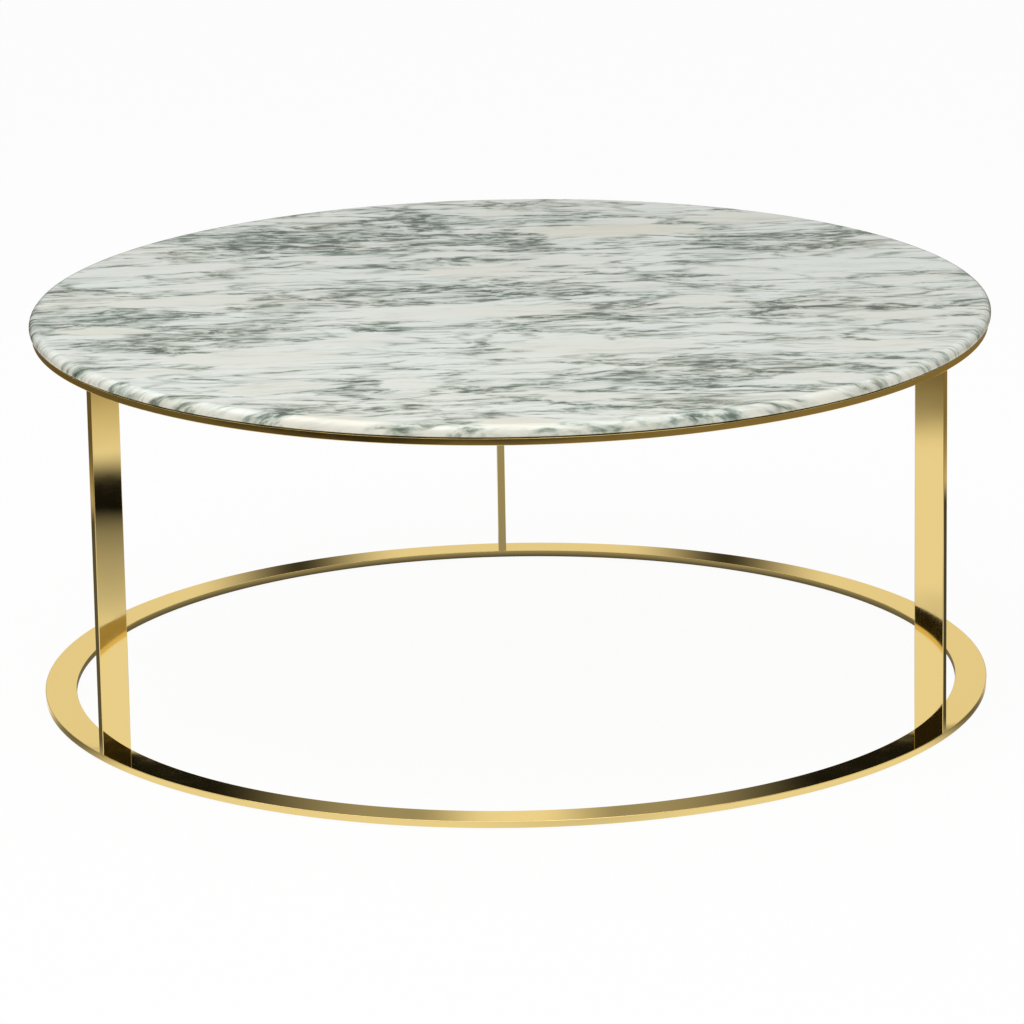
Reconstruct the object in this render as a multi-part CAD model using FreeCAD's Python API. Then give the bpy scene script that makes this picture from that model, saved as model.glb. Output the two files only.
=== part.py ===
import FreeCAD, Part
import math
import os

# Round cocktail table: a thin marble top lies on a polished brass frame, which is two flat rings
# joined by three flat-bar legs. Units are millimetres, +Z is up and the floor is at z = 0.

# Driving dimensions of the table
STONE_DIAMETER = 1000.0
OVERALL_HEIGHT = 410.0

# Stone top: its upper edge is rounded and its lower arris eased, by shares of its thickness
STONE_THICKNESS = 12.0
STONE_ROUND_SHARE = 0.68
STONE_ARRIS_SHARE = 0.2
STONE_OVERHANG = 3.0

# Backing board, bonded under the stone: it drops inside the upper ring and centres the top
BOARD_THICKNESS = 6.0
BOARD_PLAY = 1.5

# Frame: both rings have one section, and the legs are as wide as its flat part
RING_WIDTH = 33.0
RING_THICKNESS = 7.0
LEG_THICKNESS = 8.5
EDGE_BEVEL = 0.4

# The legs stand evenly around the frame, anticlockwise from the back, which is +Y
LEG_SIDES = ("back", "left", "right")
BACK_DEGREES = 90.0

# Countersunk socket screws, a pair at each end of a leg; the shares are of the screw's diameter
SCREW_DIAMETER = 4.0
SCREW_HEAD_SHARE = 2.0
SCREW_KEY_SHARE = 0.62
SCREW_KEY_DEPTH_SHARE = 0.45
SCREW_ENGAGEMENT = 16.0
SCREW_HEAD_SINK = 0.2
SEAT_PLAY = 0.05
HOLE_PLAY = 0.25
HOLE_BOTTOM_ROOM = 2.0

# Distance between the two screws of a pair, as a share of the leg's width
SCREW_SPACING_SHARE = 0.5

# Silicone bumpers carry the stone on the upper ring, and glides carry the base ring on the floor.
# They stand to either side of a leg, by shares of the angle between two legs.
BUMPER_DIAMETER = 12.0
BUMPER_THICKNESS = 1.5
GLIDE_DIAMETER = 22.0
GLIDE_THICKNESS = 1.5
PAD_TURN_SHARES = (-0.25, 0.25)

# How far a cutting shape runs past the face that it cuts
CUT_OVERRUN = 1.0

# Heights of the stack, from the floor up to the stone's upper face
base_ring_bottom = GLIDE_THICKNESS
base_ring_top = base_ring_bottom + RING_THICKNESS
stone_top = OVERALL_HEIGHT
stone_bottom = stone_top - STONE_THICKNESS
upper_ring_top = stone_bottom - BUMPER_THICKNESS
upper_ring_bottom = upper_ring_top - RING_THICKNESS

# Radii of the stone and the frame, and the width of a leg
stone_radius = STONE_DIAMETER / 2
ring_outer = stone_radius - STONE_OVERHANG
ring_inner = ring_outer - RING_WIDTH
ring_middle = (ring_outer + ring_inner) / 2
leg_width = RING_WIDTH - 2 * EDGE_BEVEL

# Radii of the screws, and where a pair stands across the ring
shank_radius = SCREW_DIAMETER / 2
head_radius = shank_radius * SCREW_HEAD_SHARE
screw_spacing = leg_width * SCREW_SPACING_SHARE
screw_places = (ring_middle - screw_spacing / 2, ring_middle + screw_spacing / 2)

# Azimuths of the legs and of the pads, from +X towards +Y
leg_turn = 360 / len(LEG_SIDES)
leg_azimuths = [BACK_DEGREES + leg_turn * i for i in range(len(LEG_SIDES))]
pad_azimuths = [leg + leg_turn * share for leg in leg_azimuths for share in PAD_TURN_SHARES]

ORIGIN = FreeCAD.Vector(0, 0, 0)
RIGHT = FreeCAD.Vector(1, 0, 0)
UP = FreeCAD.Vector(0, 0, 1)


def turned(section):
    """Solid turned about Z from the (radius, height) corners of its section."""
    corners = [FreeCAD.Vector(radius, 0, height) for radius, height in section]
    return Part.Face(Part.makePolygon(corners + corners[:1])).revolve(ORIGIN, UP, 360)


def on_x_axis(shape, radius, height):
    """Move a shape that is drawn about Z out along +X and up to its height."""
    return shape.translated(FreeCAD.Vector(radius, 0, height))


def around(shape, azimuth):
    """Turn a shape that stands on the +X axis to its place around the table."""
    return shape.rotated(ORIGIN, UP, azimuth)


def upside_down(shape):
    """Turn a shape over, about the +X axis."""
    return shape.rotated(ORIGIN, RIGHT, 180)


def at_every_screw(shape, height):
    """Copies of a shape at the screw places of every leg, as one group."""
    row = [on_x_axis(shape, place, height) for place in screw_places]
    return Part.makeCompound([around(copy, azimuth) for azimuth in leg_azimuths for copy in row])


def make_stone():
    """Marble disc with a rounded upper edge and an eased lower arris."""
    arris = STONE_THICKNESS * STONE_ARRIS_SHARE
    blank = turned([
        (0, stone_bottom),
        (stone_radius - arris, stone_bottom),
        (stone_radius, stone_bottom + arris),
        (stone_radius, stone_top),
        (0, stone_top),
    ])
    upper_edge = [edge for edge in blank.Edges if edge.Closed and edge.BoundBox.ZMin > stone_top - arris]
    return blank.makeFillet(STONE_THICKNESS * STONE_ROUND_SHARE, upper_edge)


def make_board():
    """Backing disc that drops loosely inside the upper ring."""
    disc = Part.makeCylinder(ring_inner - BOARD_PLAY, BOARD_THICKNESS)
    return disc.translated(UP * (stone_bottom - BOARD_THICKNESS))


def make_screw():
    """Countersunk socket screw about Z, with its head's flat face at z = 0 and its tip upwards."""
    length = RING_THICKNESS - SCREW_HEAD_SINK + SCREW_ENGAGEMENT
    blank = turned([
        (0, 0),
        (head_radius, 0),
        (shank_radius, head_radius - shank_radius),
        (shank_radius, length),
        (0, length),
    ])
    key_radius = SCREW_DIAMETER * SCREW_KEY_SHARE / 2 / math.cos(math.pi / 6)
    corners = [around(Part.Vertex(key_radius, 0, 0), 60 * i).Point for i in range(7)]
    socket = Part.Face(Part.makePolygon(corners)).extrude(UP * (SCREW_DIAMETER * SCREW_KEY_DEPTH_SHARE))
    return blank.cut(socket)


def make_screw_seat():
    """Cutting shape of a ring's hole about Z: countersunk from z = 0, then clear of the shank."""
    seat_radius = head_radius + SEAT_PLAY
    hole_radius = shank_radius + HOLE_PLAY
    return turned([
        (0, -CUT_OVERRUN),
        (seat_radius, -CUT_OVERRUN),
        (seat_radius, SCREW_HEAD_SINK),
        (hole_radius, SCREW_HEAD_SINK + seat_radius - hole_radius),
        (hole_radius, RING_THICKNESS + CUT_OVERRUN),
        (0, RING_THICKNESS + CUT_OVERRUN),
    ])


def make_ring(bottom, seats):
    """Flat ring with bevelled edges, and a pair of countersunk holes at each leg."""
    top = bottom + RING_THICKNESS
    ring = turned([
        (ring_inner + EDGE_BEVEL, bottom),
        (ring_outer - EDGE_BEVEL, bottom),
        (ring_outer, bottom + EDGE_BEVEL),
        (ring_outer, top - EDGE_BEVEL),
        (ring_outer - EDGE_BEVEL, top),
        (ring_inner + EDGE_BEVEL, top),
        (ring_inner, top - EDGE_BEVEL),
        (ring_inner, bottom + EDGE_BEVEL),
    ])
    return ring.cut(seats)


def make_leg(azimuth):
    """Flat bar that stands on edge to the rings: its wide faces lie along the radius."""
    length = upper_ring_bottom - base_ring_top
    corner = FreeCAD.Vector(ring_inner + EDGE_BEVEL, -LEG_THICKNESS / 2, base_ring_top)
    bar = Part.makeBox(leg_width, LEG_THICKNESS, length, corner)
    upright_edges = [edge for edge in bar.Edges if edge.BoundBox.ZLength > length / 2]
    bar = bar.makeChamfer(EDGE_BEVEL, upright_edges)
    depth = SCREW_ENGAGEMENT + HOLE_BOTTOM_ROOM
    drill = Part.makeCylinder(shank_radius + SEAT_PLAY, depth + CUT_OVERRUN)
    for place in screw_places:
        bar = bar.cut(on_x_axis(drill, place, base_ring_top - CUT_OVERRUN))
        bar = bar.cut(on_x_axis(drill, place, upper_ring_bottom - depth))
    return around(bar, azimuth)


def make_pad(diameter, thickness, bottom, azimuth):
    """Round pad on the middle of a ring."""
    pad = Part.makeCylinder(diameter / 2, thickness)
    return around(on_x_axis(pad, ring_middle, bottom), azimuth)


def make_parts():
    """Every piece of the table, by its node's name."""
    screw = make_screw()
    seat = make_screw_seat()
    parts = {
        "stone_top": make_stone(),
        "backing_board": make_board(),
        "upper_ring": make_ring(upper_ring_bottom, at_every_screw(upside_down(seat), upper_ring_top)),
        "base_ring": make_ring(base_ring_bottom, at_every_screw(seat, base_ring_bottom)),
        "upper_screws": at_every_screw(upside_down(screw), upper_ring_top - SCREW_HEAD_SINK),
        "base_screws": at_every_screw(screw, base_ring_bottom + SCREW_HEAD_SINK),
    }
    for side, azimuth in zip(LEG_SIDES, leg_azimuths):
        parts[f"leg_{side}"] = make_leg(azimuth)
    for number, azimuth in enumerate(pad_azimuths, start=1):
        parts[f"top_bumper_{number}"] = make_pad(BUMPER_DIAMETER, BUMPER_THICKNESS, upper_ring_top, azimuth)
        parts[f"floor_glide_{number}"] = make_pad(GLIDE_DIAMETER, GLIDE_THICKNESS, 0, azimuth)
    return parts


os.makedirs("parts", exist_ok=True)
for node, shape in make_parts().items():
    shape.exportStep(f"parts/{node}.step")
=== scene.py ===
import math

import bmesh
import bpy
from mathutils import Matrix, Vector


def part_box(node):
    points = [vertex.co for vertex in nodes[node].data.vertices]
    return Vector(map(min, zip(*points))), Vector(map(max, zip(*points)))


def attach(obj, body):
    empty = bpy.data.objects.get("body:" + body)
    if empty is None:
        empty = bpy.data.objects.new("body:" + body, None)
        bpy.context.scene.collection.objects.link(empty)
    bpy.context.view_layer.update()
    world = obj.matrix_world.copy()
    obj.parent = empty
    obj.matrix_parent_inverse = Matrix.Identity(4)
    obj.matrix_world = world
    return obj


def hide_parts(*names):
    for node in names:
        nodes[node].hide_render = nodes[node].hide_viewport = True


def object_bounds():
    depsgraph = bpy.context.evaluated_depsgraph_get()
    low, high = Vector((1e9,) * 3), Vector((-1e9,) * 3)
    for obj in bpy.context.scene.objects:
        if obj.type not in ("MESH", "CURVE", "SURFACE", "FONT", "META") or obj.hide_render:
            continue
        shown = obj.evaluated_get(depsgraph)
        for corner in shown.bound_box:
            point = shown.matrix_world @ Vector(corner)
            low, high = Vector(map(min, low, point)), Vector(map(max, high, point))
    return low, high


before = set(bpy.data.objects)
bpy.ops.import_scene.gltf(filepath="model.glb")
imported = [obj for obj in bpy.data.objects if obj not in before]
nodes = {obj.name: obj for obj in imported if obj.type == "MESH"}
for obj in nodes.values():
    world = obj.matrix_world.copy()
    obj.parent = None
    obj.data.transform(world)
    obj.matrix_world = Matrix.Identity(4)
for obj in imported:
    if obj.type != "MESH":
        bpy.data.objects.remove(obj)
cad_low, cad_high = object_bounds()

# Camera: where it stands as seen from the point it aims at, in degrees and metres
CAMERA_AIM = Vector((-0.0012, 0.0, 0.184))
CAMERA_AZIMUTH = -1.5755
CAMERA_ELEVATION = 15.636
CAMERA_ROLL = -0.979
CAMERA_DISTANCE = 6.297

# Camera: focal length and width of the sensor in millimetres
CAMERA_LENS = 210.56
SENSOR_WIDTH = 36.0

# Sizes of the pieces in metres, where their boxes don't give them
STONE_ROUND = 0.00816
STONE_ARRIS = 0.0024
RING_WIDTH = 0.033
LEG_INSET = 0.0004
LEG_THICKNESS = 0.0085
METAL_EASE = 0.0006
BOARD_EASE = 0.001
PAD_EASE = 0.0005

# Screw holes in metres: the countersunk seats in the rings, and the blind holes in the legs' ends
SEAT_RADIUS = 0.00405
SEAT_SINK = 0.0002
CLEAR_RADIUS = 0.00225
BLIND_RADIUS = 0.00205
BLIND_DEPTH = 0.018
CUT_OVERRUN = 0.001

# Distance between the two screws of a pair, as a share of the leg's width
SCREW_SPACING_SHARE = 0.5

# How finely round shapes are divided
STONE_SEGMENTS = 360
RING_SEGMENTS = 480
PAD_SEGMENTS = 64
HOLE_SEGMENTS = 32
STONE_STEPS = 12
EASE_STEPS = 4

# How far the flat collar beside a rounded edge reaches, as a share of the rounding
COLLAR_SHARE = 1.1

# Edges that bend more than this are left sharp
SHARP_DEGREES = 30.0

# Azimuths of the legs in degrees, from +X towards +Y
LEG_AZIMUTHS = {"back": 90.0, "left": 210.0, "right": 330.0}

# Legs that polished metal doesn't mirror
UNMIRRORED_LEGS = ("back",)

# Sockets of a Mix node that mixes colours
MIX_FIRST = 6
MIX_SECOND = 7
MIX_RESULT = 2

# In what follows a NOISE is its scale, detail and roughness, and a BUMP its strength and its height
# in metres. A STEP is a smooth change: where its input starts and ends, and the output at both.
# A SPAN is a step without its outputs.

WHITE = (1.0, 1.0, 1.0, 1.0)

# Marble: the stone's colours and its index of refraction
STONE_WHITE = (0.84, 0.878, 0.82, 1.0)
# Cream of the stone, also the tint of the painted reflection of the brass ring down the slab's edge
STONE_CREAM_AND_REFLECTION = (0.82, 0.80, 0.69, 1.0)
STONE_GREEN = (0.295, 0.362, 0.302, 1.0)
STONE_OLIVE = (0.345, 0.375, 0.298, 1.0)
STONE_VEIN = (0.07, 0.094, 0.073, 1.0)
STONE_IOR = 1.5

# Marble: how far the sheets of veins go to the back as they go down
VEIN_DIP = 0.6

# Marble: scales along X, Y and Z that draw out its layers; the smaller one is, the longer the layer
DRIFT_DRAW = (0.5, 1.0, 0.3)
VEIN_DRAW = (0.27, 1.0, 0.3)
SPECK_DRAW = (0.35, 1.0, 0.3)
STREAK_DRAW = (0.18, 1.0, 0.3)

# Marble: how the veins wander, as the scale and detail of a noise and its reach in metres
BEND_DRIFT = (5.0, 2.0, (0.10, 0.06, 0.0))
CURL_DRIFT = (18.0, 2.0, (0.07, 0.026, 0.0))
FRAY_DRIFT = (60.0, 2.0, (0.012, 0.005, 0.0))

# Marble: how thick the veins are everywhere, in a lens, in a crowd and from place to place
DENSITY_NOISE = (8.0, 3.0, 0.6)
DENSITY_STEP = (0.34, 0.66, 0.57, 0.83)
LENS_STEP = (0.40, 1.00, 0.16, 1.0)
CROWD_SPAN = (0.1, 1.6)
GRAIN_NOISE = (34.0, 3.0, 0.6)
GRAIN_STEP = (0.30, 0.70, 0.25, 1.4)
THICKEST = 1.1
FAR_OUTSIDE = 9.0

# Marble: nets of veins, as scale of the cells, shift of the pattern, width of a vein in metres, darkness
VEIN_NETS = (
    (21.0, (0.0, 0.0, 0.0), 0.0085, 0.42),
    (42.0, (3.1, 1.7, 0.0), 0.0070, 0.46),
    (84.0, (5.3, 2.9, 0.0), 0.0042, 0.30),
)

# Marble: how a vein fades across its width, and how it gets faint as it gets thin
VEIN_STEP = (0.0, 1.0, 1.0, 0.0)
FAINT_STEP = (0.0, 0.0045, 0.0, 1.0)
LEAST_REACH = 0.0005

# Marble: specks that break up the veins, and the darker veins in a crowd
SPECK_NOISE = (150.0, 3.0, 0.6)
SPECK_STEP = (0.36, 0.64, 0.45, 1.4)
CROWD_STEP = (0.5, 1.5, 0.92, 1.25)

# Marble: streaks that haze the pale stone, more so in a crowd
STREAK_NOISE = (55.0, 4.0, 0.7)
STREAK_STEP = (0.45, 0.70, 0.0, 1.0)
HAZE_STEP = (0.3, 1.5, 0.28, 0.58)

# Marble: cream in the lenses and here and there, and down the slab's edge a painted brass reflection
LENS_CREAM_SPAN = (0.3, 1.3)
CREAM_NOISE = (9.0, 2.0, 0.5)
CREAM_STEP = (0.45, 0.72, 0.0, 0.5)
EDGE_REFLECTION_STEP = (-0.006, -0.0005, 0.8, 0.0)

# Marble: where veins are olive, how they go from pale to grey and to dark, and their duller polish
OLIVE_NOISE = (14.0, 3.0, 0.5)
OLIVE_STEP = (0.40, 0.62, 0.0, 1.0)
GREY_STEP = (0.0, 0.75, 0.0, 1.0)
DARK_STEP = (0.45, 1.1, 0.0, 1.0)
POLISH_STEP = (0.0, 1.0, 0.10, 0.16)

# Pale lenses in the stone: centre, half length and half width in metres, tilt in degrees, warmth
LENSES = (
    (0.125, 0.325, 0.118, 0.044, 0, 1.0),
    (-0.060, -0.030, 0.180, 0.044, 2, 0.1),
    (-0.265, -0.210, 0.110, 0.040, 4, 0.5),
    (0.080, -0.195, 0.125, 0.036, -4, 0.5),
    (0.375, -0.215, 0.085, 0.030, 2, 0.5),
    (0.345, 0.140, 0.150, 0.052, -6, 0.0),
    (-0.030, 0.150, 0.072, 0.042, 0, 0.7),
    (-0.350, 0.040, 0.100, 0.030, 8, 0.4),
    (-0.250, -0.330, 0.060, 0.032, 0, 0.6),
    (-0.105, -0.330, 0.050, 0.030, 0, 0.3),
    (-0.420, -0.080, 0.060, 0.022, 0, 0.9),
    (0.200, -0.005, 0.042, 0.028, 0, 0.4),
    (-0.370, 0.185, 0.120, 0.028, 8, 0.1),
    (0.270, 0.370, 0.080, 0.036, 0, 0.6),
    (-0.185, -0.460, 0.080, 0.026, -14, 1.0),
    (0.070, 0.185, 0.070, 0.026, 0, 0.3),
    (0.400, -0.090, 0.066, 0.028, 0, 0.5),
    (-0.210, 0.135, 0.110, 0.022, 2, 0.1),
    (-0.330, 0.110, 0.060, 0.018, 6, 0.3),
    (0.235, 0.125, 0.055, 0.020, -4, 0.2),
    (-0.160, -0.150, 0.070, 0.022, 3, 0.3),
    (0.240, -0.130, 0.070, 0.020, -3, 0.2),
    (-0.060, 0.225, 0.060, 0.018, 4, 0.3),
    (-0.200, 0.225, 0.050, 0.016, 6, 0.2),
    (0.300, -0.340, 0.060, 0.022, 0, 0.4),
    (0.010, -0.275, 0.065, 0.020, 0, 0.2),
    (-0.380, -0.260, 0.050, 0.020, 4, 0.4),
    (0.060, -0.400, 0.070, 0.024, 0, 0.6),
    (-0.200, 0.410, 0.060, 0.018, 4, 0.3),
    (0.010, 0.420, 0.060, 0.016, 0, 0.5),
    (0.420, 0.060, 0.060, 0.018, -4, 0.3),
    (0.130, 0.070, 0.050, 0.018, 0, 0.1),
    (-0.010, -0.487, 0.050, 0.026, 0, 1.0),
    (0.295, -0.405, 0.040, 0.016, 30, 0.8),
)

# Places where the veins crowd: centre, half length and half width in metres, strength
CLUSTERS = (
    (-0.120, 0.375, 0.080, 0.034, 0.8),
    (-0.265, 0.265, 0.080, 0.034, 0.7),
    (0.000, 0.275, 0.070, 0.045, 0.7),
    (-0.190, 0.330, 0.160, 0.060, 0.4),
    (0.070, -0.070, 0.075, 0.026, 0.7),
    (0.330, -0.045, 0.080, 0.030, 0.5),
    (0.180, -0.415, 0.080, 0.030, 0.45),
    (-0.175, -0.340, 0.026, 0.034, 0.7),
    (-0.400, -0.015, 0.120, 0.016, 0.55),
    (-0.110, -0.095, 0.070, 0.014, 0.7),
    (0.300, 0.290, 0.160, 0.020, 0.5),
    (0.270, 0.240, 0.130, 0.036, 0.4),
    (-0.040, 0.050, 0.200, 0.036, 0.4),
    (-0.370, -0.130, 0.120, 0.036, 0.4),
    (0.180, -0.310, 0.160, 0.040, 0.3),
    (-0.150, 0.320, 0.300, 0.130, 0.30),
    (0.360, 0.260, 0.200, 0.060, 0.12),
    (0.000, 0.060, 0.300, 0.060, 0.25),
    (0.340, -0.060, 0.200, 0.060, 0.10),
    (0.150, -0.360, 0.220, 0.080, 0.25),
    (-0.400, -0.050, 0.150, 0.060, 0.25),
    (-0.072, -0.497, 0.024, 0.016, 0.25),
    (-0.440, -0.225, 0.024, 0.030, 0.4),
    (-0.350, -0.355, 0.034, 0.030, 0.4),
    (-0.260, -0.428, 0.014, 0.024, 0.9),
    (0.400, -0.290, 0.050, 0.024, 0.2),
)

# Brass: its colour straight on and at a grazing angle, its polishing haze and its waviness
BRASS_COLOUR = (0.86, 0.655, 0.26, 1.0)
BRASS_GRAZING = (0.97, 0.88, 0.66, 1.0)
BRASS_HAZE_NOISE = (30.0, 4.0, 0.6)
BRASS_HAZE_STEP = (0.3, 0.8, 0.02, 0.06)
BRASS_WAVE_NOISE = (9.0, 1.0, 0.5)
BRASS_WAVE_BUMP = (0.3, 0.001)

# Plywood: grain and figure of its faces, which are drawn out along X, and its lacquer
BIRCH_DARK = (0.66, 0.51, 0.32, 1.0)
BIRCH_LIGHT = (0.78, 0.66, 0.46, 1.0)
BIRCH_FIGURE = (0.62, 0.46, 0.27, 1.0)
BIRCH_GRAIN_DRAW = (1.0, 14.0, 14.0)
BIRCH_GRAIN_NOISE = (14.0, 5.0, 0.6)
BIRCH_GRAIN_STEP = (0.35, 0.65, 0.0, 1.0)
BIRCH_GRAIN_BUMP = (0.15, 0.0003)
BIRCH_FIGURE_DRAW = (1.0, 4.0, 4.0)
BIRCH_FIGURE_NOISE = (5.0, 2.0, 0.5)
BIRCH_FIGURE_STEP = (0.4, 0.7, 0.0, 0.4)
BIRCH_ROUGHNESS = 0.42

# Plywood: how many plies it has, and the glue lines between them
PLY_COUNT = 5
GLUE_BROWN = (0.25, 0.15, 0.07, 1.0)
GLUE_STEP = (0.00005, 0.0002, 0.7, 0.0)

# Zinc: its two tones, patches and polish
ZINC_DARK = (0.50, 0.51, 0.52, 1.0)
ZINC_LIGHT = (0.70, 0.69, 0.64, 1.0)
ZINC_NOISE = (300.0, 4.0, 0.6)
ZINC_POLISH_STEP = (0.3, 0.7, 0.22, 0.4)

# Moulded pads: dark and light tone and roughness of each kind, and the grain that both have
SILICONE = ((0.62, 0.64, 0.63, 1.0), (0.76, 0.77, 0.76, 1.0), 0.3)
NYLON = ((0.02, 0.02, 0.02, 1.0), (0.045, 0.045, 0.045, 1.0), 0.5)
MOULD_NOISE = (900.0, 3.0, 0.6)
MOULD_SPAN = (0.3, 0.7)
MOULD_BUMP = (0.2, 0.0002)
MOULD_SPREAD = 0.08

# Floor: half its width in metres, how far it lies below the glides, and its matt colour
FLOOR_HALF = 30.0
FLOOR_DROP = 0.0002
FLOOR_COLOUR = (0.9, 0.9, 0.9, 1.0)

# Floor: how much of what the camera sees is plain white, and the rest is the floor with its shadow
CAMERA_WHITE = 0.95

# Floor as polished metal sees it: a pool of light by the distance from the table's axis, and around
# it a dim, warm floor by the place along X, which is darker still past a far edge
POOL_SPAN = (1.0, 1.6)
POOL_LEVEL = 0.94
DIM_STEP = (-1.5, 1.4, 0.14, 0.24)
DIM_COLOUR = (1.0, 0.82, 0.5, 1.0)
FAR_CENTRE = (0.045, 0.0, 0.0)
FAR_STEP = (1.955, 1.985, 1.0, 0.25)

# Floor as polished metal sees it: shade under the base ring, by the distance from the table's axis
# inside and outside it, and by the place along Y, as it is only at the back
UNDER_RING_STEP = (0.43, 0.46, 1.0, 0.2)
BESIDE_RING_STEP = (0.475, 0.485, 0.0, 1.0)
FRONT_STEP = (-0.12, 0.02, 1.0, 0.0)

# Dark patches that polished metal sees on the floor: centre and half sizes in metres, tilt in
# degrees, the share of the size at which the patch starts to fade, and its darkest level
FLOOR_SHADES = (
    (0.0, 0.12, 0.50, 0.50, 0.0, 0.6, 0.38),
    (0.455, -0.795, 0.20, 0.20, 0.0, 0.3, 0.015),
    (0.33, -0.715, 0.26, 0.26, 0.0, 0.0, 0.3),
    (0.15, -0.605, 0.26, 0.13, -32.5, 0.0, 0.6),
    (-0.73, -1.07, 0.26, 0.26, 0.0, 0.2, 0.5),
    (0.02, -0.76, 0.14, 0.20, 0.0, 0.4, 0.40),
    (-0.84, 0.015, 0.54, 0.16, -32.5, 0.75, 0.12),
    (0.83, 0.04, 0.54, 0.16, 35.8, 0.75, 0.08),
)

# Card behind the table in metres: half its width, its height and its distance
CARD_HALF = 0.62
CARD_HEIGHT = 0.46
CARD_BACK = 0.8

# Card: its middle along X, and the height at which the upper panel starts
CARD_MIDDLE = 0.02
CARD_UPPER_STEP = (0.339, 0.348, 0.0, 1.0)

# Card: light of the upper panel by the distance from the middle, first near it and then far from it
CARD_NEAR_STEP = (0.02, 0.13, 0.98, 0.38)
CARD_SIDE_STEP = (0.16, 0.37, 1.0, 0.03)

# Card: light of the lower panel, the place and width of its two dark bands, and where they end
CARD_LOWER_LEVEL = 0.90
CARD_BAND_ASIDE = 0.255
CARD_BAND_STEP = (0.0, 0.13, 0.85, 0.0)
CARD_BAND_TOP_STEP = (0.16, 0.22, 1.0, 0.0)

# Surroundings as matt surfaces see them
SOFT_LEVEL = 0.55

# Surroundings as polished metal sees them, by the direction's share along Z: low down, and higher up
LOW_SKY_STEP = (0.21, 0.27, 0.30, 0.46)
HIGH_SKY_STEP = (0.38, 0.7, 0.0, 1.0)

# Dark upright strips in the low surroundings, by the direction's shares: their place to both sides and
# their width along X, towards the front along Y, the left one at every height, the right one higher up
FLAG_ASIDE = 0.79
FLAG_STEP = (0.045, 0.085, 0.95, 0.0)
FLAG_FRONT_STEP = (-0.3, -0.1, 1.0, 0.0)
FLAG_LEFT_STEP = (-0.1, 0.1, 1.0, 0.0)
FLAG_RAISED_STEP = (0.293, 0.302, 0.0, 1.0)

# Lamps: place and size in metres and power in watts, and the point at which they aim
LAMPS = {
    "key": ((-0.6, -0.9, 2.6), (3.6, 2.8), 47.0),
    "front": ((1.4, -3.0, 1.5), (2.6, 1.4), 10.0),
}
LAMP_AIM = Vector((0, 0, 0.2))


class Graph:
    """Short way to add the nodes of a material or world and to join them."""

    def __init__(self, tree):
        self.tree = tree
        tree.nodes.clear()

    def fill(self, socket, value):
        if isinstance(value, bpy.types.NodeSocket):
            self.tree.links.new(value, socket)
        else:
            socket.default_value = value

    def add(self, kind, values=None, **settings):
        node = self.tree.nodes.new(kind)
        for name, value in settings.items():
            setattr(node, name, value)
        for name, value in (values or {}).items():
            self.fill(node.inputs[name], value)
        return node

    def math(self, operation, *values):
        node = self.add("ShaderNodeMath", operation=operation)
        for socket, value in zip(node.inputs, values):
            self.fill(socket, value)
        return node.outputs[0]

    def vector(self, operation, *values):
        node = self.add("ShaderNodeVectorMath", operation=operation)
        for socket, value in zip(node.inputs, values):
            self.fill(socket, value)
        return node.outputs["Vector"]

    def length(self, vector):
        return self.add("ShaderNodeVectorMath", {0: vector}, operation="LENGTH").outputs["Value"]

    def place(self):
        """Where a point of the surface is, in metres."""
        return self.add("ShaderNodeTexCoord").outputs["Object"]

    def axes(self, vector):
        return self.add("ShaderNodeSeparateXYZ", {"Vector": vector}).outputs

    def away(self, value, middle):
        """How far a value is from a middle one."""
        return self.math("ABSOLUTE", self.math("SUBTRACT", value, middle))

    def step(self, value, low, high, out_low, out_high):
        """A smooth step from out_low to out_high as the value goes from low to high."""
        values = {"Value": value, "From Min": low, "From Max": high, "To Min": out_low, "To Max": out_high}
        return self.add("ShaderNodeMapRange", values, interpolation_type="SMOOTHSTEP").outputs["Result"]

    def noise(self, vector, scale, detail, roughness):
        values = {"Vector": vector, "Scale": scale, "Detail": detail, "Roughness": roughness}
        return self.add("ShaderNodeTexNoise", values).outputs["Fac"]

    def drift(self, vector, scale, detail, reach):
        """A wandering offset, up to about half of the reach each way."""
        values = {"Vector": vector, "Scale": scale, "Detail": detail}
        colour = self.add("ShaderNodeTexNoise", values).outputs["Color"]
        return self.vector("MULTIPLY", self.vector("SUBTRACT", colour, (0.5, 0.5, 0.5)), reach)

    def spot(self, vector, centre, half, tilt=0.0):
        """The place as seen from a spot, with the spot's half sizes as units."""
        values = {
            "Vector": vector,
            "Location": (centre[0], centre[1], 0.0),
            "Rotation": (0.0, 0.0, math.radians(tilt)),
            "Scale": (half[0], half[1], 1.0),
        }
        return self.add("ShaderNodeMapping", values, vector_type="TEXTURE").outputs["Vector"]

    def mix(self, factor, first, second):
        node = self.add("ShaderNodeMix", data_type="RGBA")
        self.fill(node.inputs["Factor"], factor)
        self.fill(node.inputs[MIX_FIRST], first)
        self.fill(node.inputs[MIX_SECOND], second)
        return node.outputs[MIX_RESULT]

    def bump(self, height, strength, distance):
        values = {"Height": height, "Strength": strength, "Distance": distance}
        return self.add("ShaderNodeBump", values).outputs["Normal"]

    def mix_shaders(self, share, first, second):
        return self.add("ShaderNodeMixShader", {0: share, 1: first, 2: second}).outputs[0]


def new_material(name):
    material = bpy.data.materials.new(name)
    material.use_nodes = True
    return material, Graph(material.node_tree)


def finish_material(graph, values):
    shader = graph.add("ShaderNodeBsdfPrincipled", values)
    graph.add("ShaderNodeOutputMaterial", {"Surface": shader.outputs["BSDF"]})


def lens_depth(graph, place, centre, half, tilt=0.0):
    """Reads 0 on the axis of a pointed lens and 1 on its rim; the lens runs through the whole slab."""
    axes = graph.axes(graph.spot(place, centre, half, tilt))
    return graph.math("MULTIPLY_ADD", axes["X"], axes["X"], graph.math("ABSOLUTE", axes["Y"]))


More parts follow.
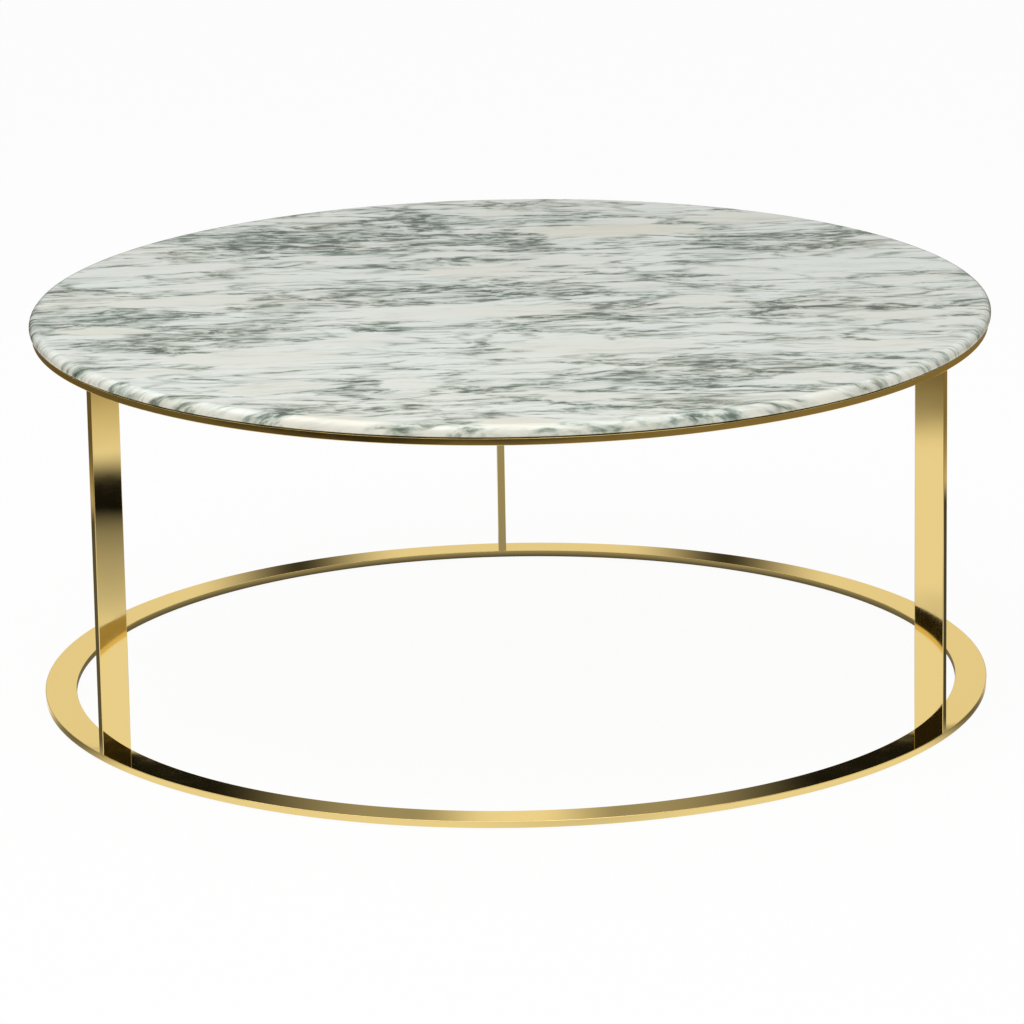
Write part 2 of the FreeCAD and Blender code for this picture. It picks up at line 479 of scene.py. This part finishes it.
def vein_net(graph, place, scale, width):
    """Veins between cells of one size: 1 on a border, 0 at the width, in metres; thin ones are faint."""
    values = {"Vector": place, "Scale": scale}
    cells = graph.add("ShaderNodeTexVoronoi", values, feature="DISTANCE_TO_EDGE").outputs
    reach = graph.math("MAXIMUM", graph.math("MULTIPLY", width, scale), LEAST_REACH)
    line = graph.step(graph.math("DIVIDE", cells["Distance"], reach), *VEIN_STEP)
    return graph.math("MULTIPLY", line, graph.step(width, *FAINT_STEP))


def overlay(graph, first, second, strength):
    """Darkness of one layer with a second layer over it."""
    left = graph.math("MULTIPLY_ADD", second, -strength, 1.0)
    left = graph.math("MULTIPLY", left, graph.math("SUBTRACT", 1.0, first))
    return graph.math("SUBTRACT", 1.0, left)


def make_marble():
    """Breccia marble: pale lenses in a net of grey-green veins that runs along X."""
    material, graph = new_material("breccia_marble")
    axes = graph.axes(graph.place())
    depth = graph.math("SUBTRACT", axes["Z"], cad_high.z)
    dipped = graph.math("MULTIPLY_ADD", depth, VEIN_DIP, axes["Y"])
    place = graph.add("ShaderNodeCombineXYZ", {"X": axes["X"], "Y": dipped, "Z": depth}).outputs["Vector"]

    # The veins follow a place that wanders, and lie along X
    drawn = graph.vector("MULTIPLY", place, DRIFT_DRAW)
    lens_place = graph.vector("ADD", place, graph.drift(drawn, *CURL_DRIFT))
    flow = graph.vector("ADD", lens_place, graph.drift(drawn, *BEND_DRIFT))
    flow = graph.vector("ADD", flow, graph.drift(drawn, *FRAY_DRIFT))
    along = graph.vector("MULTIPLY", flow, VEIN_DRAW)

    # Lenses hold few veins
    rim = FAR_OUTSIDE
    cream_and_reflection = 0.0
    for centre_x, centre_y, half_x, half_y, tilt, warmth in LENSES:
        inside = lens_depth(graph, lens_place, (centre_x, centre_y), (half_x, half_y), tilt)
        rim = graph.math("MINIMUM", inside, rim)
        cream_and_reflection = graph.math("MAXIMUM", graph.step(inside, *LENS_CREAM_SPAN, warmth, 0.0), cream_and_reflection)

    # How thick the veins are
    density = graph.step(graph.noise(along, *DENSITY_NOISE), *DENSITY_STEP)
    for centre_x, centre_y, half_x, half_y, strength in CLUSTERS:
        inside = lens_depth(graph, flow, (centre_x, centre_y), (half_x, half_y))
        density = graph.math("ADD", density, graph.step(inside, *CROWD_SPAN, strength, 0.0))
    density = graph.math("MULTIPLY", density, graph.step(rim, *LENS_STEP))
    grain = graph.step(graph.noise(along, *GRAIN_NOISE), *GRAIN_STEP)
    heavy = graph.math("MINIMUM", graph.math("MULTIPLY", density, grain), THICKEST)
    crowd = graph.math("MINIMUM", graph.math("MULTIPLY", heavy, density), THICKEST)

    # Nets of three sizes of cell, the smallest for the crowds, broken up by fine specks
    veins = 0.0
    for (scale, shift, width, darkness), thickness in zip(VEIN_NETS, (heavy, heavy, crowd)):
        shifted = graph.vector("ADD", along, shift)
        net = vein_net(graph, shifted, scale, graph.math("MULTIPLY", thickness, width))
        veins = overlay(graph, veins, net, darkness)
    specks = graph.noise(graph.vector("MULTIPLY", flow, SPECK_DRAW), *SPECK_NOISE)
    veins = graph.math("MULTIPLY", veins, graph.step(specks, *SPECK_STEP))
    veins = graph.math("MULTIPLY", veins, graph.step(density, *CROWD_STEP))

    # Colours: fine streaks haze the pale stone, and the veins run from green to olive
    streaks = graph.noise(graph.vector("MULTIPLY", flow, STREAK_DRAW), *STREAK_NOISE)
    haze = graph.math("MULTIPLY", graph.step(streaks, *STREAK_STEP), graph.step(density, *HAZE_STEP))
    cream_and_reflection = graph.math("MAXIMUM", cream_and_reflection, graph.step(graph.noise(along, *CREAM_NOISE), *CREAM_STEP))
    # Painted warm reflection of the brass ring: cream down the edge of the slab
    cream_and_reflection = graph.math("MAXIMUM", cream_and_reflection, graph.step(depth, *EDGE_REFLECTION_STEP))
    olive = graph.step(graph.noise(along, *OLIVE_NOISE), *OLIVE_STEP)
    grey = graph.mix(olive, STONE_GREEN, STONE_OLIVE)
    colour = graph.mix(cream_and_reflection, STONE_WHITE, STONE_CREAM_AND_REFLECTION)
    colour = graph.mix(haze, colour, grey)
    colour = graph.mix(graph.step(veins, *GREY_STEP), colour, grey)
    colour = graph.mix(graph.step(veins, *DARK_STEP), colour, STONE_VEIN)
    roughness = graph.step(veins, *POLISH_STEP)
    finish_material(graph, {"Base Color": colour, "Roughness": roughness, "IOR": STONE_IOR})
    return material


def make_brass():
    """Mirror-polished brass, with faint polishing haze and the slight waviness of rolled bar."""
    material, graph = new_material("polished_brass")
    place = graph.place()
    values = {
        "Base Color": BRASS_COLOUR,
        "Specular Tint": BRASS_GRAZING,
        "Metallic": 1.0,
        "Roughness": graph.step(graph.noise(place, *BRASS_HAZE_NOISE), *BRASS_HAZE_STEP),
        "Normal": graph.bump(graph.noise(place, *BRASS_WAVE_NOISE), *BRASS_WAVE_BUMP),
    }
    finish_material(graph, values)
    return material


def make_plywood():
    """Lacquered birch plywood: long grain on its faces, and thin dark glue lines on its edge."""
    material, graph = new_material("birch_plywood")
    place = graph.place()
    grain = graph.noise(graph.vector("MULTIPLY", place, BIRCH_GRAIN_DRAW), *BIRCH_GRAIN_NOISE)
    figure = graph.noise(graph.vector("MULTIPLY", place, BIRCH_FIGURE_DRAW), *BIRCH_FIGURE_NOISE)
    colour = graph.mix(graph.step(grain, *BIRCH_GRAIN_STEP), BIRCH_DARK, BIRCH_LIGHT)
    colour = graph.mix(graph.step(figure, *BIRCH_FIGURE_STEP), colour, BIRCH_FIGURE)
    low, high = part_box("backing_board")
    ply = (high.z - low.z) / PLY_COUNT
    level = graph.math("SUBTRACT", graph.axes(place)["Z"], low.z)
    glue = graph.away(graph.math("PINGPONG", level, ply), ply)
    colour = graph.mix(graph.step(glue, *GLUE_STEP), colour, GLUE_BROWN)
    normal = graph.bump(grain, *BIRCH_GRAIN_BUMP)
    finish_material(graph, {"Base Color": colour, "Roughness": BIRCH_ROUGHNESS, "Normal": normal})
    return material


def make_zinc():
    """Zinc-plated steel with the faint patches of its passivation."""
    material, graph = new_material("zinc_steel")
    patches = graph.noise(graph.place(), *ZINC_NOISE)
    colour = graph.mix(patches, ZINC_DARK, ZINC_LIGHT)
    roughness = graph.step(patches, *ZINC_POLISH_STEP)
    finish_material(graph, {"Base Color": colour, "Metallic": 1.0, "Roughness": roughness})
    return material


def make_moulded(name, dark, light, roughness):
    """Moulded soft plastic with a fine satin grain."""
    material, graph = new_material(name)
    grain = graph.noise(graph.place(), *MOULD_NOISE)
    smoothest, dullest = roughness - MOULD_SPREAD, roughness + MOULD_SPREAD
    values = {
        "Base Color": graph.mix(graph.step(grain, *MOULD_SPAN, 0.0, 1.0), dark, light),
        "Roughness": graph.step(grain, *MOULD_SPAN, smoothest, dullest),
        "Normal": graph.bump(grain, *MOULD_BUMP),
    }
    finish_material(graph, values)
    return material


def eased(corners, steps):
    """Points of an outline whose square corners, each (x, y, rounding), are rounded."""
    points = []
    for i, (x, y, rounding) in enumerate(corners):
        here = Vector((x, y))
        if rounding == 0:
            points.append(here)
            continue
        back = (Vector(corners[i - 1][:2]) - here).normalized()
        ahead = (Vector(corners[(i + 1) % len(corners)][:2]) - here).normalized()
        centre = here + (back + ahead) * rounding
        points.append(here + back * rounding * COLLAR_SHARE)
        for step in range(steps + 1):
            angle = math.pi / 2 * step / steps
            points.append(centre - (ahead * math.cos(angle) + back * math.sin(angle)) * rounding)
        points.append(here + ahead * rounding * COLLAR_SHARE)
    return points


def turn(build, section, segments, place=Matrix.Identity(4), closed=False):
    """Add a shape turned about Z from the (radius, height) points of its section, put in its place."""
    rings = []
    for radius, height in section:
        if radius == 0:
            rings.append([build.verts.new(place @ Vector((0, 0, height)))])
            continue
        ring = []
        for i in range(segments):
            angle = 2 * math.pi * i / segments
            corner = Vector((radius * math.cos(angle), radius * math.sin(angle), height))
            ring.append(build.verts.new(place @ corner))
        rings.append(ring)
    pairs = list(zip(rings, rings[1:]))
    if closed:
        pairs.append((rings[-1], rings[0]))
    for lower, upper in pairs:
        for i in range(segments):
            j = (i + 1) % segments
            if len(lower) == 1:
                build.faces.new((lower[0], upper[j], upper[i]))
            elif len(upper) == 1:
                build.faces.new((lower[i], lower[j], upper[0]))
            else:
                build.faces.new((lower[i], lower[j], upper[j], upper[i]))


def raise_up(build, outline, low, high, place):
    """Add an upright bar with the given (x, y) outline, put in its place."""
    ends = []
    for height in (low, high):
        ends.append([build.verts.new(place @ Vector((x, y, height))) for x, y in outline])
    lower, upper = ends
    build.faces.new(lower[::-1])
    build.faces.new(upper)
    for i in range(len(outline)):
        j = (i + 1) % len(outline)
        build.faces.new((lower[i], lower[j], upper[j], upper[i]))


def new_piece(name, build):
    """Object made from a mesh under construction, smooth but for its sharp edges."""
    bmesh.ops.recalc_face_normals(build, faces=build.faces)
    for face in build.faces:
        face.smooth = True
    mesh = bpy.data.meshes.new(name)
    build.to_mesh(mesh)
    build.free()
    mesh.set_sharp_from_angle(angle=math.radians(SHARP_DEGREES))
    piece = bpy.data.objects.new(name, mesh)
    bpy.context.scene.collection.objects.link(piece)
    return piece


def cut(piece, build):
    """Take the shapes of a mesh under construction out of a piece."""
    cutter = new_piece("cutter", build)
    modifier = piece.modifiers.new("holes", "BOOLEAN")
    modifier.operation = "DIFFERENCE"
    modifier.solver = "EXACT"
    modifier.object = cutter
    view = bpy.context.evaluated_depsgraph_get()
    mesh = bpy.data.meshes.new_from_object(piece.evaluated_get(view))
    mesh.set_sharp_from_angle(angle=math.radians(SHARP_DEGREES))
    piece.modifiers.clear()
    piece.data = mesh
    bpy.data.objects.remove(cutter)


def dress(piece, material, node):
    """Give a piece its finish and let it stand for a CAD node."""
    piece.data.materials.clear()
    piece.data.materials.append(material)
    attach(piece, "root")
    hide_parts(node)


def around(azimuth, radius=0.0):
    """Turn about the table's axis, after a move out along +X."""
    turned = Matrix.Rotation(math.radians(azimuth), 4, "Z")
    return turned @ Matrix.Translation((radius, 0, 0))


def screw_radii():
    """How far the two screws of a pair are from the table's axis."""
    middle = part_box("upper_ring")[1].x - RING_WIDTH / 2
    reach = (RING_WIDTH - 2 * LEG_INSET) * SCREW_SPACING_SHARE / 2
    return (middle - reach, middle + reach)


def make_disc(name, node, material, lower_ease, upper_ease, steps):
    """Disc about the table's axis, with its lower and upper edge rounded."""
    low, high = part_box(node)
    radius = min(high.x, high.y, -low.x, -low.y)
    corners = [(0, low.z, 0), (radius, low.z, lower_ease), (radius, high.z, upper_ease), (0, high.z, 0)]
    build = bmesh.new()
    turn(build, eased(corners, steps), STONE_SEGMENTS)
    dress(new_piece(name, build), material, node)


def make_ring(name, node, material, screws_from_below):
    """Flat ring with eased edges, and countersunk seats where the screws go in."""
    low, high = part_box(node)
    outer = high.x
    inner = outer - RING_WIDTH
    corners = [(inner, low.z), (outer, low.z), (outer, high.z), (inner, high.z)]
    section = eased([(radius, height, METAL_EASE) for radius, height in corners], EASE_STEPS)
    build = bmesh.new()
    turn(build, section, RING_SEGMENTS, closed=True)
    piece = new_piece(name, build)
    start, inward = (low.z, 1) if screws_from_below else (high.z, -1)
    sunk = SEAT_SINK + SEAT_RADIUS - CLEAR_RADIUS
    through = high.z - low.z + CUT_OVERRUN
    seat = [(0, -CUT_OVERRUN), (SEAT_RADIUS, -CUT_OVERRUN), (SEAT_RADIUS, SEAT_SINK)]
    seat += [(CLEAR_RADIUS, sunk), (CLEAR_RADIUS, through), (0, through)]
    seat = [(radius, start + inward * depth) for radius, depth in seat]
    build = bmesh.new()
    for azimuth in LEG_AZIMUTHS.values():
        for radius in screw_radii():
            turn(build, seat, HOLE_SEGMENTS, around(azimuth, radius))
    cut(piece, build)
    dress(piece, material, node)


def make_leg(side, azimuth, material):
    """Flat bar with eased edges, and blind screw holes in its ends."""
    low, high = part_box(f"leg_{side}")
    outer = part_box("upper_ring")[1].x - LEG_INSET
    inner = outer - RING_WIDTH + 2 * LEG_INSET
    half = LEG_THICKNESS / 2
    corners = [(inner, -half), (outer, -half), (outer, half), (inner, half)]
    outline = eased([(x, y, METAL_EASE) for x, y in corners], EASE_STEPS)
    build = bmesh.new()
    raise_up(build, outline, low.z, high.z, around(azimuth))
    piece = new_piece(f"{side}_leg", build)
    lower_hole = (low.z - CUT_OVERRUN, low.z + BLIND_DEPTH)
    upper_hole = (high.z - BLIND_DEPTH, high.z + CUT_OVERRUN)
    build = bmesh.new()
    for bottom, top in (lower_hole, upper_hole):
        hole = [(0, bottom), (BLIND_RADIUS, bottom), (BLIND_RADIUS, top), (0, top)]
        for radius in screw_radii():
            turn(build, hole, HOLE_SEGMENTS, around(azimuth, radius))
    cut(piece, build)
    dress(piece, material, f"leg_{side}")
    piece.visible_glossy = side not in UNMIRRORED_LEGS


def make_pads(prefix, name, material):
    """Round pads with eased rims, one for each CAD pad whose name starts with the prefix."""
    for node in sorted(node for node in nodes if node.startswith(prefix)):
        low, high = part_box(node)
        radius = min(high.x - low.x, high.y - low.y) / 2
        corners = [(0, low.z, 0), (radius, low.z, PAD_EASE), (radius, high.z, PAD_EASE), (0, high.z, 0)]
        centre = (low + high) / 2
        build = bmesh.new()
        place = Matrix.Translation((centre.x, centre.y, 0))
        turn(build, eased(corners, EASE_STEPS), PAD_SEGMENTS, place)
        dress(new_piece(name + node[len(prefix):], build), material, node)


def paint(node, material):
    """Give a finish to a CAD node that stays."""
    nodes[node].data.materials.clear()
    nodes[node].data.materials.append(material)


def make_plane(name, corners):
    """Flat four-cornered piece of the studio."""
    mesh = bpy.data.meshes.new(name)
    mesh.from_pydata(corners, [], [(0, 1, 2, 3)])
    plane = bpy.data.objects.new(name, mesh)
    bpy.context.scene.collection.objects.link(plane)
    return plane


def make_floor():
    """White floor with a faint shadow, clear from below; polished metal sees a pool of light on it."""
    half, level = FLOOR_HALF, -FLOOR_DROP
    corners = [(-half, -half, level), (half, -half, level), (half, half, level), (-half, half, level)]
    floor = make_plane("floor", corners)
    material, graph = new_material("floor_white")
    place = graph.place()
    axes = graph.axes(place)
    radius = graph.length(place)

    # The pool of light and the dim floor around it
    beyond = graph.length(graph.vector("SUBTRACT", place, FAR_CENTRE))
    dim = graph.math("MULTIPLY", graph.step(axes["X"], *DIM_STEP), graph.step(beyond, *FAR_STEP))
    pool = graph.step(radius, *POOL_SPAN, POOL_LEVEL, dim)
    colour = graph.mix(graph.step(radius, *POOL_SPAN, 0.0, 1.0), WHITE, DIM_COLOUR)

    # Shade under the back of the base ring, and the dark patches
    under = graph.step(radius, *UNDER_RING_STEP)
    under = graph.math("MAXIMUM", under, graph.step(radius, *BESIDE_RING_STEP))
    under = graph.math("MAXIMUM", under, graph.step(axes["Y"], *FRONT_STEP))
    pool = graph.math("MULTIPLY", pool, under)
    for centre_x, centre_y, half_x, half_y, tilt, edge, darkest in FLOOR_SHADES:
        shade = graph.length(graph.spot(place, (centre_x, centre_y), (half_x, half_y), tilt))
        pool = graph.math("MULTIPLY", pool, graph.step(shade, edge, 1.0, darkest, 1.0))

    # White to the camera, the pool to polished metal, and matt to all else
    light = graph.add("ShaderNodeLightPath").outputs
    strength = graph.math("MAXIMUM", light["Is Camera Ray"], pool)
    colour = graph.mix(light["Is Camera Ray"], colour, WHITE)
    glow = graph.add("ShaderNodeEmission", {"Color": colour, "Strength": strength}).outputs[0]
    diffuse = graph.add("ShaderNodeBsdfDiffuse", {"Color": FLOOR_COLOUR}).outputs[0]
    share = graph.math("MULTIPLY_ADD", light["Is Camera Ray"], CAMERA_WHITE, light["Is Glossy Ray"])
    surface = graph.mix_shaders(share, diffuse, glow)
    clear = graph.add("ShaderNodeBsdfTransparent").outputs[0]
    below = graph.add("ShaderNodeNewGeometry").outputs["Backfacing"]
    graph.add("ShaderNodeOutputMaterial", {"Surface": graph.mix_shaders(below, surface, clear)})
    floor.data.materials.append(material)


def make_card():
    """Low card behind the table that only polished metal sees: white, with soft dark panels."""
    half, back, top = CARD_HALF, CARD_BACK, CARD_HEIGHT
    card = make_plane("card", [(-half, back, 0), (half, back, 0), (half, back, top), (-half, back, top)])
    card.visible_camera = False
    card.visible_diffuse = False
    card.visible_shadow = False
    card.visible_transmission = False
    material, graph = new_material("card_white")
    axes = graph.axes(graph.place())
    aside = graph.away(axes["X"], CARD_MIDDLE)
    upper = graph.math("MULTIPLY", graph.step(aside, *CARD_NEAR_STEP), graph.step(aside, *CARD_SIDE_STEP))
    band = graph.step(graph.away(aside, CARD_BAND_ASIDE), *CARD_BAND_STEP)
    band = graph.math("MULTIPLY", band, graph.step(axes["Z"], *CARD_BAND_TOP_STEP))
    lower = graph.math("SUBTRACT", CARD_LOWER_LEVEL, band)
    split = graph.step(axes["Z"], *CARD_UPPER_STEP)
    lower = graph.math("MULTIPLY", lower, graph.math("SUBTRACT", 1.0, split))
    strength = graph.math("MULTIPLY_ADD", upper, split, lower)
    glow = graph.add("ShaderNodeEmission", {"Color": WHITE, "Strength": strength}).outputs[0]
    graph.add("ShaderNodeOutputMaterial", {"Surface": glow})
    card.data.materials.append(material)


def make_world():
    """White to the camera, soft to matt surfaces, and dark low down to polished ones."""
    world = bpy.data.worlds.new("studio")
    world.use_nodes = True
    bpy.context.scene.world = world
    graph = Graph(world.node_tree)
    axes = graph.axes(graph.add("ShaderNodeTexCoord").outputs["Generated"])

    # What polished metal sees, with the dark strips
    flag = graph.step(graph.away(graph.math("ABSOLUTE", axes["X"]), FLAG_ASIDE), *FLAG_STEP)
    flag = graph.math("MULTIPLY", flag, graph.step(axes["Y"], *FLAG_FRONT_STEP))
    raised = graph.step(axes["Z"], *FLAG_RAISED_STEP)
    raised = graph.math("MAXIMUM", graph.step(axes["X"], *FLAG_LEFT_STEP), raised)
    flag = graph.math("MULTIPLY", flag, raised)
    low_sky = graph.step(axes["Z"], *LOW_SKY_STEP)
    low_sky = graph.math("MULTIPLY", low_sky, graph.math("SUBTRACT", 1.0, flag))
    room = graph.math("MAXIMUM", graph.step(axes["Z"], *HIGH_SKY_STEP), low_sky)

    # What the camera and matt surfaces see
    light = graph.add("ShaderNodeLightPath").outputs
    soft = graph.math("MULTIPLY_ADD", light["Is Camera Ray"], 1.0 - SOFT_LEVEL, SOFT_LEVEL)
    room = graph.math("MULTIPLY", light["Is Glossy Ray"], room)
    matt = graph.math("MULTIPLY", graph.math("SUBTRACT", 1.0, light["Is Glossy Ray"]), soft)
    strength = graph.math("ADD", room, matt)
    back = graph.add("ShaderNodeBackground", {"Color": WHITE, "Strength": strength}).outputs[0]
    graph.add("ShaderNodeOutputWorld", {"Surface": back})


def make_lamp(name, place, size, power):
    data = bpy.data.lights.new(name, "AREA")
    data.shape = "RECTANGLE"
    data.size, data.size_y = size
    data.energy = power
    lamp = bpy.data.objects.new(name, data)
    lamp.location = place
    lamp.rotation_euler = (LAMP_AIM - Vector(place)).to_track_quat("-Z", "Y").to_euler()
    bpy.context.scene.collection.objects.link(lamp)


def make_camera():
    azimuth = math.radians(CAMERA_AZIMUTH)
    elevation = math.radians(CAMERA_ELEVATION)
    roll = math.radians(CAMERA_ROLL)
    level = Vector((math.sin(azimuth), -math.cos(azimuth), 0))
    back = level * math.cos(elevation) + Vector((0, 0, math.sin(elevation)))
    right = Vector((math.cos(azimuth), math.sin(azimuth), 0))
    up = back.cross(right)
    rolled_right = right * math.cos(roll) + up * math.sin(roll)
    rolled_up = up * math.cos(roll) - right * math.sin(roll)
    data = bpy.data.cameras.new("camera")
    data.sensor_width = SENSOR_WIDTH
    data.lens = CAMERA_LENS
    camera = bpy.data.objects.new("camera", data)
    turned = Matrix((rolled_right, rolled_up, back)).transposed().to_4x4()
    camera.matrix_world = Matrix.Translation(CAMERA_AIM + back * CAMERA_DISTANCE) @ turned
    bpy.context.scene.collection.objects.link(camera)
    bpy.context.scene.camera = camera


bpy.context.scene.view_settings.view_transform = "Standard"
make_disc("stone", "stone_top", make_marble(), STONE_ARRIS, STONE_ROUND, STONE_STEPS)
make_disc("board", "backing_board", make_plywood(), BOARD_EASE, 0, EASE_STEPS)
brass = make_brass()
make_ring("top_ring", "upper_ring", brass, False)
make_ring("floor_ring", "base_ring", brass, True)
for side, azimuth in LEG_AZIMUTHS.items():
    make_leg(side, azimuth, brass)
zinc = make_zinc()
paint("upper_screws", zinc)
paint("base_screws", zinc)
make_pads("top_bumper", "bumper", make_moulded("clear_silicone", *SILICONE))
make_pads("floor_glide", "glide", make_moulded("black_nylon", *NYLON))
make_floor()
make_card()
make_world()
for name, (place, size, power) in LAMPS.items():
    make_lamp(name, place, size, power)
make_camera()
